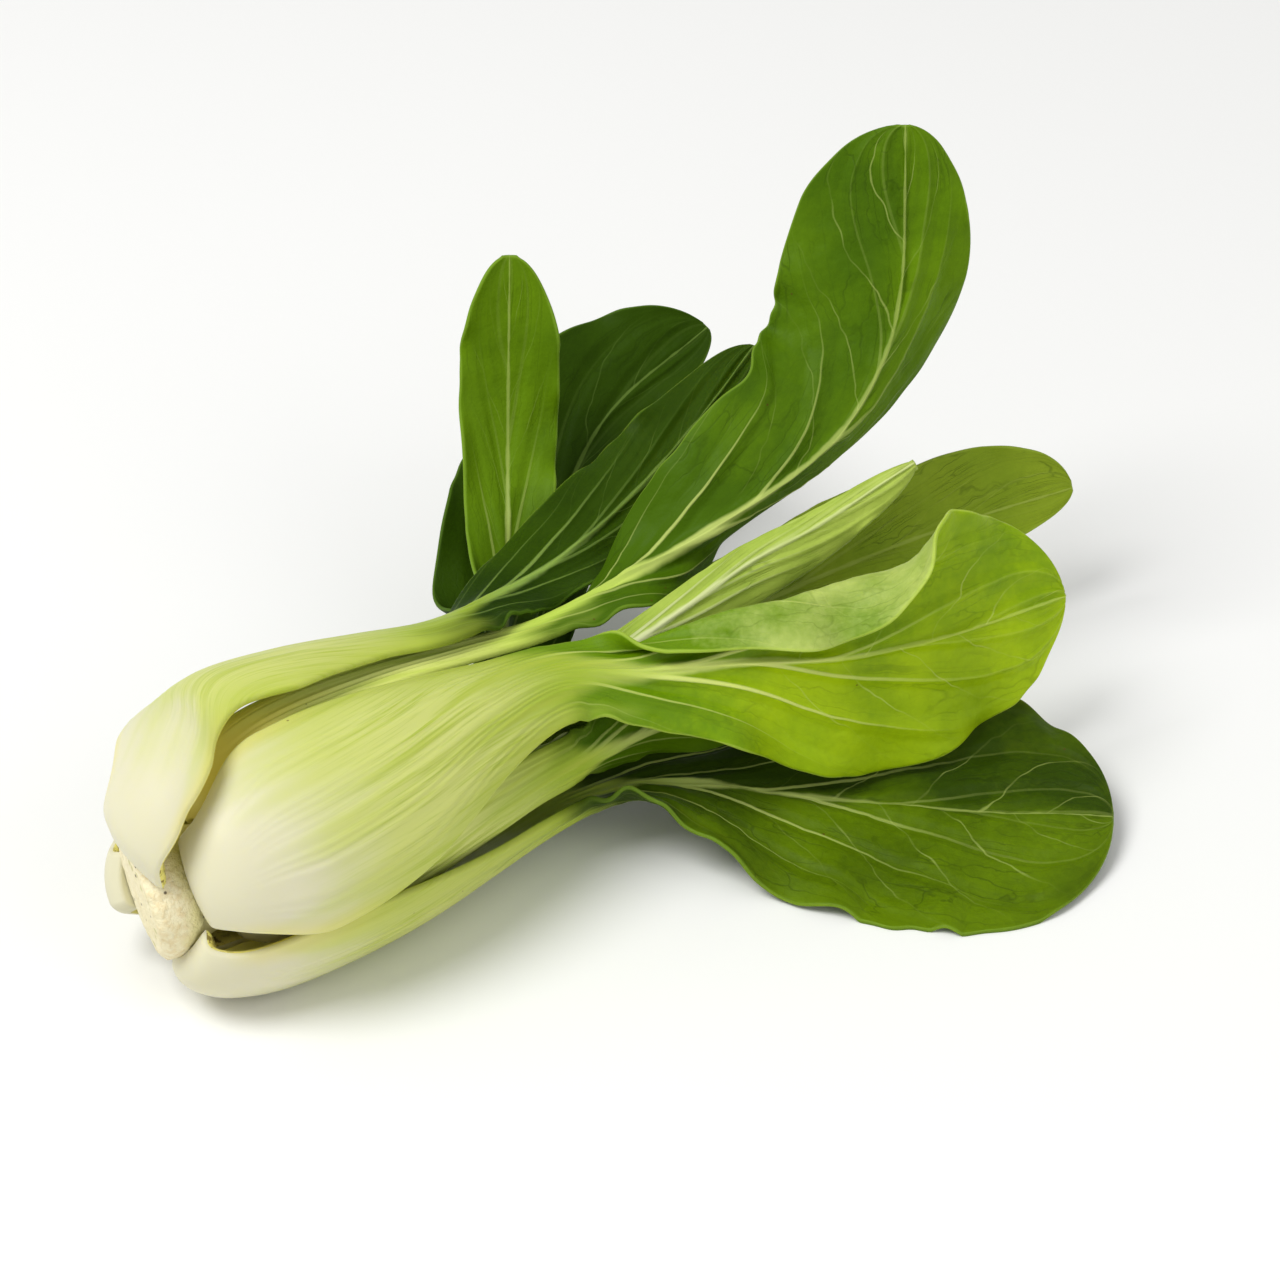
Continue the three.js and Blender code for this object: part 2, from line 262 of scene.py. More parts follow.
def stalkOutward(point, along):
    radial = unit(point * [0, 1, 1])
    lean = np.sum(along * radial, axis=-1, keepdims=True)
    return radial * along[..., :1] - lean * np.array([1.0, 0, 0])


def leafFrames(leaf, u):
    path, pathU, length, neckU = midrib(leaf)
    slope = unit(np.gradient(path, axis=0))
    point = np.column_stack([np.interp(u, pathU, path[:, k]) for k in range(3)])
    along = unit(np.column_stack([np.interp(u, pathU, slope[:, k]) for k in range(3)]))
    neckPoint = np.array([np.interp(neckU, pathU, path[:, k]) for k in range(3)])
    neckAlong = unit(np.array([np.interp(neckU, pathU, slope[:, k]) for k in range(3)]))
    carried = np.where((u < neckU)[:, None], stalkOutward(point, along), stalkOutward(neckPoint, neckAlong))
    facing = unit(np.array(leaf["facing"], float))
    outward = lerp(carried, facing, smooth(neckU, neckU + 0.25, u)[:, None])
    outward = unit(outward - np.sum(outward * along, axis=1, keepdims=True) * along)
    return point, outward, np.cross(outward, along), length, neckU


def halfWidth(leaf, u, neckU):
    bulb, neck, blade = leaf["half"]
    k = np.minimum(u / neckU, 1)
    base = whorls[leaf["whorl"]]["baseRadius"] * leafBuild["stumpHalf"]
    widened = lerp(base, bulb, smooth(*leafBuild["widens"], k))
    stalk = lerp(widened, neck, smooth(*leafBuild["narrows"], k))
    q = np.clip((u - neckU) / (1 - neckU), 0, 1)
    past = np.clip((q - leaf["widest"]) / (1 - leaf["widest"]), 0, 1)
    opening = np.sin(math.pi / 2 * np.minimum(1, q / leaf["widest"]) ** leaf["spoon"])
    outline = np.where(q > leaf["widest"], np.sqrt(1 - past**2), opening)
    free = np.maximum(leafBuild["tipHalfWidth"], neck * (1 - q) ** 3 + blade * outline)
    swing = np.sin(q * leafBuild["scallopRate"] + 2.2 * np.sin(q * 9 + leaf["seed"]))
    notches = np.sin(q * leafBuild["notchRate"] + 3 * np.sin(q * 17 + leaf["seed"]))
    scallop = leaf["scallop"] * (swing + leafBuild["notch"] * notches)
    return np.where(u < neckU, stalk, free * (1 + scallop * smooth(0.08, 0.3, q))), q


def foldAngle(leaf, side, share, q):
    fold = leaf["fold"]
    if not fold or fold["side"] != side:
        return np.zeros((len(q), len(share)))
    opening = smooth(fold["after"], fold["after"] + 0.18, q)
    closing = smooth(fold["until"] - 0.25, fold["until"] + 0.15, q)
    lengthways = opening * (1 - closing)
    return fold["angle"] * lengthways[:, None] * smooth(fold["from"], fold["to"], share)[None]


def bentSide(leaf, side, share, q, cup):
    # how far out and up a cross-section has got at each share of its width
    step = 1 / leafBuild["bendSteps"]
    middles = (np.arange(leafBuild["bendSteps"]) + 0.5) * step
    angle = foldAngle(leaf, side, middles, q) - cup[:, None] * middles[None]
    start = np.zeros((len(q), 1))
    out = np.hstack([start, np.cumsum(np.cos(angle), axis=1) * step])
    up = np.hstack([start, np.cumsum(np.sin(angle), axis=1) * step])
    where = np.clip(share / step, 0, leafBuild["bendSteps"] - 1e-6)
    low = where.astype(int)
    part = where - low
    return lerp(out[:, low], out[:, low + 1], part), lerp(up[:, low], up[:, low + 1], part)


def stalkShare(leaf, t, k):
    # how much of its width the stalk has on each side
    slimFrom, slimUntil, slimEnd = leafBuild["slim"]
    before, after = leaf["slim"]
    stump, bulb = (np.where(t < 0, before[i], after[i])[None] for i in (0, 1))
    share = lerp(stump, bulb, smooth(0, slimFrom, k)[:, None])
    return lerp(share, 1, smooth(slimUntil, slimEnd, k)[:, None])


def marginWaves(leaf, q, t):
    # wide waves, small ruffles and a tight frill, all of them strongest at the margin
    side = np.where(t < 0, -1, 1)[None]
    edge = np.abs(t)[None]
    q = q[:, None]
    waveFade = smooth(0, 0.25, q) * (1 - smooth(0.85, 1, q))
    frillFade = smooth(0, 0.05, q) * (1 - smooth(0.1, 0.24, q))
    swing = np.sin(2 * math.pi * leaf["waves"] * q + side * leafBuild["swingTurn"]) * leaf["wave"] * edge**3
    ruffle = np.sin(leafBuild["ruffleRate"] * q + 5 * np.sin(8 * q + side) + leaf["seed"]) * edge**6
    frill = np.sin(leafBuild["frillRate"] * q + side * 2 + leaf["seed"]) * edge**5
    return (swing + ruffle * leafBuild["ruffle"]) * waveFade + frill * frillFade * leafBuild["frill"]


def middleSurface(leaf, u, t):
    point, outward, across, length, neckU = leafFrames(leaf, u)
    width, q = halfWidth(leaf, u, neckU)
    free = smooth(neckU - leafBuild["mergeLength"] / length, neckU, u)[:, None]
    cup = lerp(width / leaf["radius"][1], leaf["cup"], smooth(0, 0.3, q))
    side = np.where(t < 0, -1, 1)
    share = np.where(t < 0, leaf["sides"][0], leaf["sides"][1])[None]
    reach = width[:, None] * lerp(1, share, smooth(0, 0.3, q)[:, None])
    out = np.zeros((len(u), len(t)))
    up = np.zeros((len(u), len(t)))
    for which in (-1, 1):
        columns = np.where(side == which)[0]
        out[:, columns], up[:, columns] = bentSide(leaf, which, np.abs(t[columns]), q, cup)
    lift = reach * up + marginWaves(leaf, q, t)
    blade = (point[:, None] + across[:, None] * (side[None] * reach * out)[..., None]
             + outward[:, None] * lift[..., None])
    radius = np.hypot(point[:, 1], point[:, 2])[:, None]
    slim = stalkShare(leaf, t, u / neckU)
    angle = np.arctan2(point[:, 2], point[:, 1])[:, None] - t[None] * slim * width[:, None] / radius
    x = np.broadcast_to(point[:, :1], angle.shape)
    stalk = np.stack([x, radius * np.cos(angle), radius * np.sin(angle)], axis=2)
    return lerp(stalk, blade, free[..., None]), reach * lerp(slim, 1, free), q, length, neckU


ribShape = {
    "from": 0.45, "until": 0.16,  # thins from this share of the stalk to this far past the neck
    "neckHalf": 0.75, "neckFade": 0.11,
    "half": 0.75, "narrowing": 0.8, "tipHalf": 0.15,
    "height": 1.5, "heightFade": 0.35, "tipHeight": 0.15,
    "outward": 0.85,  # share of the midrib that stands out of the outer face
}


def leafThickness(leaf, u, t, reach, q, neckU):
    # thick stalk, which narrows past the neck into the midrib of a thin blade
    stalk = whorls[leaf["whorl"]]["thickness"]
    left = (1 - smooth(neckU * ribShape["from"], neckU + ribShape["until"], u))[:, None]
    edge = lerp(leafBuild["tissue"], leafBuild["stalkMargin"], left)
    core = leaf["half"][1] * ribShape["neckHalf"] * np.exp(-q / ribShape["neckFade"])
    core = (core + ribShape["half"] * (1 - q) ** ribShape["narrowing"] + ribShape["tipHalf"])[:, None]
    height = ribShape["height"] * np.exp(-q[:, None] / ribShape["heightFade"]) + ribShape["tipHeight"]
    height = lerp(height, stalk - edge, left)
    shape = lerp(np.exp(-(np.abs(t)[None] * reach / core) ** 2), 1 - t[None] ** 2, left)
    return edge, height * shape, core, left


def restOnFloor(outer, inner):
    # what would sink into the floor lies flat on it, with the lower face at the bottom
    outerLow = outer[..., 2] < inner[..., 2]
    flat = leafBuild["flatThickness"]
    outer[..., 2] = np.maximum(outer[..., 2], np.where(outerLow, 0.0, flat))
    inner[..., 2] = np.maximum(inner[..., 2], np.where(outerLow, flat, 0.0))


def veinField(leaf, t, q, du, dt):
    # lines that leave the midrib and sweep towards the tip, and the ribs of the stalk below them:
    # a phase that grows by one from vein to vein, and the distance between veins in millimetres
    side = np.where(t < 0, -1, 1)[None]
    sweep = leaf["sweep"] * np.abs(t)[None] ** leaf["curve"]
    wander = leafBuild["veinWander"] * np.sin(3.1 * np.abs(t)[None] + 11 * q[:, None] + leaf["seed"] + side)
    uneven = leafBuild["veinUneven"] * np.sin(19 * (q[:, None] - sweep) + leaf["seed"] * 2 + side * 2)
    phase = leaf["veins"] * (q[:, None] - sweep + uneven) + wander + np.where(side < 0, 0.5, 0.0) + 20
    perRow = np.linalg.norm(du, axis=2)
    perColumn = np.linalg.norm(dt, axis=2)
    slope = np.hypot(np.gradient(phase, axis=0) / np.maximum(perRow, 1e-6),
                     np.gradient(phase, axis=1) / np.maximum(perColumn, 1e-6))
    return phase, np.clip(1 / np.maximum(slope, 1e-3), *leafBuild["veinSpacing"])


def leafArrays(leaf):
    rows, columns = leaf["grid"]
    k = np.linspace(0, 1, rows)
    u = k - leafBuild["crowding"] * np.sin(2 * math.pi * k)
    even, rim = leafBuild["marginColumns"]
    t = np.concatenate([[-1, -rim], np.linspace(-even, even, columns - 3), [rim, 1]])
    surface, reach, q, length, neckU = middleSurface(leaf, u, t)
    du = np.gradient(surface, axis=0)
    dt = np.gradient(surface, axis=1)
    normal = unit(np.cross(du, dt))
    edge, extra, core, left = leafThickness(leaf, u, t, reach, q, neckU)
    marginMm = np.minimum(reach * (1 - np.abs(t))[None], ((1 - u) * length)[:, None])
    footMm = np.minimum(marginMm, (u * length)[:, None])
    away = np.clip(1 - footMm / leafBuild["rimRound"], 0, 1)
    half = edge * np.maximum(0.3, np.sqrt(1 - away**2)) / 2
    outShare = lerp(ribShape["outward"], 0.5, left)
    outer = surface + normal * (half + extra * outShare)[..., None] + headShift
    inner = surface - normal * (half + extra * (1 - outShare))[..., None] + headShift
    restOnFloor(outer, inner)
    phase, spacing = veinField(leaf, t, q, du, dt)
    along = np.where(u < neckU, u / neckU, 1 + q)[:, None]
    fields = {
        "place": (along, t[None] * reach, t[None]),
        "veins": (phase, spacing, marginMm),
        "flow": ((u * length)[:, None], core, left),
    }
    stored = {"outward": normal}
    for name, parts in fields.items():
        stored[name] = np.stack([np.broadcast_to(part, surface.shape[:2]) for part in parts], axis=2)
    return outer, inner, stored


def sheetFaces(rows, columns):
    # quads of a leaf's two faces, two margins and two ends
    i, j = np.meshgrid(np.arange(rows - 1), np.arange(columns - 1), indexing="ij")
    a = (i * columns + j).ravel()
    shift = rows * columns
    outer = np.column_stack([a, a + 1, a + columns + 1, a + columns])
    inner = np.column_stack([a, a + columns, a + columns + 1, a + 1]) + shift
    first = np.arange(rows - 1) * columns
    last = first + columns - 1
    near = np.column_stack([first, first + columns, first + columns + shift, first + shift])
    far = np.column_stack([last, last + shift, last + columns + shift, last + columns])
    j = np.arange(columns - 1)
    end = (rows - 1) * columns
    foot = np.column_stack([j, j + shift, j + 1 + shift, j + 1])
    tip = np.column_stack([end + j, end + j + 1, end + j + 1 + shift, end + j + shift])
    return np.vstack([outer, inner, near, far, foot, tip])[:, ::-1]


def meshFrom(name, points, faces):
    mesh = bpy.data.meshes.new(name)
    mesh.vertices.add(len(points))
    mesh.vertices.foreach_set("co", (points * millimetre).ravel())
    mesh.loops.add(faces.size)
    mesh.loops.foreach_set("vertex_index", faces.ravel().astype(np.int32))
    mesh.polygons.add(len(faces))
    mesh.polygons.foreach_set("loop_start", np.arange(0, faces.size, faces.shape[1], dtype=np.int32))
    mesh.update(calc_edges=True)
    mesh.validate()
    mesh.shade_smooth()
    return mesh


def storeVector(mesh, name, values):
    attribute = mesh.attributes.new(name, "FLOAT_VECTOR", "POINT")
    attribute.data.foreach_set("vector", values.reshape(-1).astype(np.float32))


def storedVector(tree, name):
    kind = "GeometryNodeInputNamedAttribute"
    return addNode(tree, kind, {"Name": name}, data_type="FLOAT_VECTOR").outputs["Attribute"]


relief = {
    "ribsPerVein": 3,
    "veinHalf": (0.75, 0.3),  # near the midrib and at the margin
    "quiltWidth": 3.2,
    "pucker": 130.0, "finePucker": 420.0, "undulation": 55.0,  # scales of noise
}


def reliefHeight(tree, given, position):
    # how far each point goes outward: ribs on the stalk, veins, quilting and puckers on the blade
    along, t = split(tree, storedVector(tree, "place"))[::2]
    phase, spacing, margin = split(tree, storedVector(tree, "veins"))
    side = split(tree, storedVector(tree, "face"))[0]  # 1 on the outer face, -1 on the inner one
    edge = calc(tree, "ABSOLUTE", t)
    inStalk = product(tree, rise(tree, along, 0.1, 0.3), fall(tree, along, 0.95, 1.12))
    inBlade = rise(tree, along, 0.98, 1.15)
    inside = rise(tree, margin, 0.0, 5.0)
    onOuter = calc(tree, "MAXIMUM", side, 0.0)

    turn = calc(tree, "COSINE", product(tree, phase, 2 * math.pi * relief["ribsPerVein"]))
    rib = calc(tree, "MULTIPLY_ADD", turn, 0.5, 0.5)
    ribs = product(tree, rib, inStalk, onOuter, given["Rib Height"], fall(tree, edge, 0.8, 1.0))

    away = product(tree, offLine(tree, phase), spacing)
    veinHalf = rise(tree, edge, 0.0, 0.9, *relief["veinHalf"])
    vein = fall(tree, calc(tree, "DIVIDE", away, veinHalf), 0.0, 1.6)
    veins = product(tree, vein, inBlade, onOuter, given["Vein Height"], rise(tree, edge, 0.9, 0.4))
    hollow = rise(tree, away, 0.0, relief["quiltWidth"])
    quilt = product(tree, hollow, inBlade, inside, given["Quilt Height"], -1.0)

    shifted = vectorCalc(tree, "ADD", position, join(tree, given["Seed"], 0.0, 0.0))
    pucker = total(tree, centred(tree, noise(tree, shifted, relief["pucker"], 2.0)),
                   centred(tree, noise(tree, shifted, relief["finePucker"], 1.0), 0.45))
    pucker = product(tree, pucker, inBlade, inside, given["Pucker Height"])
    broad = noise(tree, shifted, relief["undulation"], 1.0)
    undulation = product(tree, centred(tree, broad, 0.5), inStalk)
    return product(tree, total(tree, ribs, veins, quilt, pucker, undulation), millimetre)


def makeReliefTree():
    tree = bpy.data.node_groups.new("leafRelief", "GeometryNodeTree")
    addSockets(tree, "INPUT", "Geometry", "Geometry")
    addSockets(tree, "INPUT", "Float", "Rib Height", "Vein Height", "Quilt Height", "Pucker Height", "Seed")
    addSockets(tree, "INPUT", "Material", "Material")
    addSockets(tree, "OUTPUT", "Geometry", "Geometry")
    start = tree.nodes.new("NodeGroupInput")
    given = {socket.name: socket for socket in start.outputs}
    position = tree.nodes.new("GeometryNodeInputPosition").outputs[0]
    height = reliefHeight(tree, given, position)
    push = vectorCalc(tree, "SCALE", storedVector(tree, "outward"), height)
    moved = vectorCalc(tree, "ADD", position, push)
    x, y, z = split(tree, moved)
    settled = join(tree, x, y, calc(tree, "MAXIMUM", z, 0.0))  # nothing sinks into the surface
    setPosition = addNode(tree, "GeometryNodeSetPosition",
                          {"Geometry": given["Geometry"], "Position": settled})
    realize = addNode(tree, "GeometryNodeRealizeInstances", {0: setPosition.outputs[0]})
    setMaterial = addNode(tree, "GeometryNodeSetMaterial",
                          {"Geometry": realize.outputs[0], "Material": given["Material"]})
    addNode(tree, "NodeGroupOutput", {0: setMaterial.outputs[0]})
    return tree


reliefTree = makeReliefTree()


def applyTree(thing, tree, values):
    modifier = thing.modifiers.new(tree.name, "NODES")
    modifier.node_group = tree
    for item in tree.interface.items_tree:
        if item.in_out == "INPUT" and item.name in values:
            modifier[item.identifier] = values[item.name]
    graph = bpy.context.evaluated_depsgraph_get()
    evaluated = thing.evaluated_get(graph)
    made = bpy.data.meshes.new_from_object(evaluated, preserve_all_data_layers=True, depsgraph=graph)
    old = thing.data
    thing.modifiers.remove(modifier)
    thing.data = made
    made.name = old.name + "Fine"
    bpy.data.meshes.remove(old)


skin = {
    "cloud": 45.0,  # scales of the soft patches on stalks and on blades
    "patch": 60.0,
    "speck": 900.0,
    "streaksAcross": 0.75,  # streaks per millimetre across and along a stalk
    "streaksAlong": 0.02,
    "streaksFrom": (0.2, 0.62),  # shares of the stalk between which they grow clear
    "netAcross": 5.0, "netAlong": 0.32,
    "netCell": 0.6, "netFineCell": 1.9,
    "netBend": 1.3,
    "branches": 8.0,  # branches in the length of a blade
    "branchSlant": 0.26,
    "branchWidth": (0.006, 0.024),
    "spots": 190.0,  # dark specks, and how many cells stay without one
    "spotFrom": 0.8,
    "grit": 800.0, "cells": 1500.0,
    "bend": 260.0, "wobble": 120.0, "gaps": 110.0, "ragged": 300.0,  # scales of what bends and breaks veins
    "roughness": 0.36,
}


def readFields(tree):
    # what the mesh of a leaf carries: the place on it, its veins, its flow and its face
    def stored(name):
        node = addNode(tree, "ShaderNodeAttribute", {}, attribute_name=name)
        return split(tree, node.outputs["Vector"])

    along, reach, t = stored("place")
    phase, spacing, margin = stored("veins")
    lengthMm, core = stored("flow")[:2]
    return {
        "along": along, "reach": reach, "t": t, "edge": calc(tree, "ABSOLUTE", t),
        "phase": phase, "spacing": spacing, "margin": margin, "length": lengthMm, "core": core,
        "inner": rise(tree, stored("face")[0], 0.3, -0.3),  # 0 on the outer face, 1 on the inner one
        "object": tree.nodes.new("ShaderNodeTexCoord").outputs["Object"],
    }


def stalkSkin(tree, given, field):
    # cream at the foot, pale green above, with long streaks that follow its ribs, and a painted glow in its
    # crevices
    along, edge = field["along"], field["edge"]
    streakPlace = join(tree, product(tree, field["reach"], skin["streaksAcross"]),
                       product(tree, field["length"], skin["streaksAlong"]), given["Seed"])
    streak = noise(tree, streakPlace, 1.0, 4.0, 0.65)
    wide = noise(tree, streakPlace, 0.35, 1.0, 0.5)
    hair = noise(tree, streakPlace, 4.0, 2.0, 0.6)
    cloud = noise(tree, field["object"], skin["cloud"], 2.0)
    level = total(tree, along, centred(tree, cloud, 0.3), centred(tree, wide, 0.3))
    stalk = mixColour(tree, rise(tree, level, 0.12, 0.44), given["Foot"], given["Stalk"])
    ribbed = rise(tree, along, *skin["streaksFrom"])
    darkStreak = product(tree, rise(tree, streak, 0.36, 0.26), rise(tree, along, 0.55, 0.95), 0.5)
    margins = product(tree, rise(tree, edge, 0.5, 1.0), 0.55, rise(tree, along, 0.14, 0.5))
    # painted glow: a bright yellow near the margins low on the stalk, standing in for light that shines
    # through the leaves into the crevices
    paintedCreviceGlow = product(tree, rise(tree, edge, 0.72, 0.98), rise(tree, along, 0.05, 0.16),
                       rise(tree, along, 0.5, 0.25), 0.35)
    layers = [
        (rise(tree, level, 0.6, 1.02), "Neck"),
        (product(tree, rise(tree, streak, 0.46, 0.66), ribbed, 0.75), "Streak"),
        (darkStreak, "Blade Shade"),
        (product(tree, rise(tree, hair, 0.5, 0.68), ribbed, 0.35), "Neck"),
        (margins, "Streak"),
        (paintedCreviceGlow, "Crevice"),
        # the inner face near the foot gets the same painted glow
        (product(tree, field["inner"], fall(tree, along, 0.2, 0.6), 0.75), "Crevice"),
    ]
    for mask, name in layers:
        stalk = mixColour(tree, mask, stalk, given[name])
    return stalk, level, cloud, product(tree, streak, ribbed)


def bladeSkin(tree, given, field):
    # the blade between its veins, darker near the neck and, where a leaf asks for it, darker on one side:
    # painted shade where a fold or a leaf above keeps the light off
    patch = noise(tree, field["object"], skin["patch"], 3.0)
    speck = noise(tree, field["object"], skin["speck"], 2.0)
    # painted shadow: one side of the blade mixed towards the darker green
    ownSide = product(tree, field["t"], calc(tree, "SIGN", given["Painted Side Shade"]))
    paintedSideShade = product(tree, rise(tree, ownSide, -0.1, 0.15), calc(tree, "ABSOLUTE", given["Painted Side Shade"]))
    shade = total(tree, rise(tree, patch, 0.36, 0.7, 0.0, 0.5), centred(tree, speck, 0.35),
                  rise(tree, field["along"], 1.1, 1.45, 0.85, 0.0), paintedSideShade)
    bladeFace = mixColour(tree, field["inner"], given["Blade"], given["Under"])
    return mixColour(tree, calc(tree, "MINIMUM", shade, 1.0), bladeFace, given["Blade Shade"])


def netOfVeins(tree, given, field, clear):
    # a fine net that runs with the side veins, bent a little
    netPlace = join(tree, product(tree, field["phase"], skin["netAcross"]),
                    product(tree, field["reach"], skin["netAlong"]), given["Seed"])
    bend = noise(tree, field["object"], skin["bend"], 2.0)
    push = product(tree, bend, skin["netBend"])
    place = vectorCalc(tree, "ADD", netPlace, join(tree, push, push, 0.0))
    net = fall(tree, voronoi(tree, place, skin["netCell"], "DISTANCE_TO_EDGE"), 0.0, 0.05)
    netFine = voronoi(tree, place, skin["netFineCell"], "DISTANCE_TO_EDGE")
    netFine = fall(tree, netFine, 0.0, 0.07)
    netMask = total(tree, product(tree, net, 0.75), product(tree, netFine, 0.25))
    return product(tree, netMask, clear, given["Net Strength"])


def sideVeins(tree, given, field):
    # thin and pale, strongest where they leave the neck, gone before the margin
    along, edge, phase = field["along"], field["edge"], field["phase"]
    number = calc(tree, "FLOOR", phase)
    own = join(tree, number, calc(tree, "SIGN", field["reach"]), given["Seed"])
    random = addNode(tree, "ShaderNodeTexWhiteNoise", {"Vector": own}, noise_dimensions="3D")
    strong = rise(tree, random.outputs["Value"], 0.0, 1.0, 0.6, 1.1)
    away = product(tree, offLine(tree, phase), field["spacing"])
    veinHalf = product(tree, rise(tree, edge, 0.0, 0.9, 0.42, 0.14), strong,
                       rise(tree, along, 1.0, 1.5, 1.25, 0.8))
    vein = fall(tree, calc(tree, "DIVIDE", away, veinHalf), 0.45, 1.3)
    fade = product(tree, rise(tree, edge, 0.35, 0.92, 1.0, 0.12), rise(tree, along, 1.3, 1.8, 1.0, 0.12))
    return product(tree, vein, fade, strong, given["Vein Strength"])


def branchVeins(tree, given, field, clear):
    # thin branches that leave the midrib at a wider angle in the outer half, broken here and there
    wobble = centred(tree, noise(tree, field["object"], skin["wobble"], 2.0), 0.5)
    slanted = calc(tree, "SUBTRACT", field["along"], product(tree, field["edge"], skin["branchSlant"]))
    phase = total(tree, product(tree, slanted, skin["branches"]), wobble,
                  product(tree, calc(tree, "SIGN", field["reach"]), 0.25), given["Seed"])
    return product(tree, fall(tree, offLine(tree, phase), *skin["branchWidth"]),
                   rise(tree, field["along"], 1.3, 1.6), rise(tree, field["edge"], 0.3, 0.95, 1.0, 0.1),
                   clear, given["Vein Strength"], 0.4)


def specksAndSoil(tree, given, field, colour):
    # dark specks, and soil caught where the stalks leave the stump
    spots = addNode(tree, "ShaderNodeTexVoronoi", {"Vector": field["object"], "Scale": skin["spots"]})
    spotRed = addNode(tree, "ShaderNodeSeparateColor", {0: spots.outputs["Color"]})
    spotMask = product(tree, fall(tree, spots.outputs["Distance"], 0.025, 0.05),
                       calc(tree, "GREATER_THAN", spotRed.outputs[0], skin["spotFrom"]), 0.7)
    colour = mixColour(tree, spotMask, colour, given["Dirt"])
    grit = noise(tree, field["object"], skin["grit"], 3.0, 0.65)
    soil = product(tree, rise(tree, grit, 0.47, 0.58), fall(tree, field["along"], 0.03, 0.11),
                   field["inner"], given["Dirt Strength"])
    return mixColour(tree, soil, colour, given["Dirt"])


stalkTints = {
    "Foot": tint(216, 212, 182),
    "Stalk": tint(200, 206, 120),
    "Neck": tint(154, 176, 54),
    "Streak": tint(172, 186, 70),
    # a painted glow of light through the leaves, put in crevices and on inner faces near the foot
    "Crevice": tint(226, 214, 84),
    "Dirt": tint(86, 56, 22),
}
# painted light: brighter stalk tints for the inner leaves, lifting stalks that the outer leaves shade, as if
# light shone through them
paintedGlowTints = {
    **stalkTints,
    "Foot": tint(250, 236, 130),
    "Stalk": tint(236, 240, 150),
    "Neck": tint(178, 204, 76),
    "Streak": tint(200, 214, 96),
    "Crevice": tint(240, 224, 96),
}
bladeTints = {
    "bright": {
        "Blade": tint(164, 192, 3), "Blade Shade": tint(100, 136, 1), "Under": tint(202, 214, 122),
        "Vein": tint(206, 218, 120), "Rim": tint(176, 200, 80),
    },
    "middle": {
        "Blade": tint(94, 128, 3), "Blade Shade": tint(66, 98, 2),
        "Vein": tint(190, 204, 112), "Rim": tint(128, 160, 50),
    },
    "dark": {
        "Blade": tint(48, 74, 2), "Blade Shade": tint(33, 56, 1),
        "Vein": tint(140, 168, 80), "Rim": tint(92, 124, 36),
    },
    "olive": {
        "Blade": tint(93, 120, 2), "Blade Shade": tint(46, 68, 1),
        "Vein": tint(184, 198, 108), "Rim": tint(118, 148, 48),
    },
    "pale": {
        "Blade": tint(172, 192, 80), "Blade Shade": tint(134, 164, 44), "Under": tint(180, 198, 96),
        "Vein": tint(224, 228, 176), "Rim": tint(176, 198, 90),
    },
    "grey": {
        "Blade": tint(136, 158, 32), "Blade Shade": tint(110, 136, 20),
        "Vein": tint(172, 186, 90), "Rim": tint(150, 172, 60),
    },
}
leafFinish = {
    "dirt": 0.75,
    "bumpDepth": 0.00025, "bumpStrength": 0.8,
    "scatterRadius": (1.0, 0.9, 0.25), "scatterScale": 0.003,  # light that goes through the tissue
    "seedStep": 3.7,
}
bladeGloss = {"bright": 0.15, "middle": 0.08, "dark": 0.06, "olive": 0.08, "pale": 0.18, "grey": 0.1}


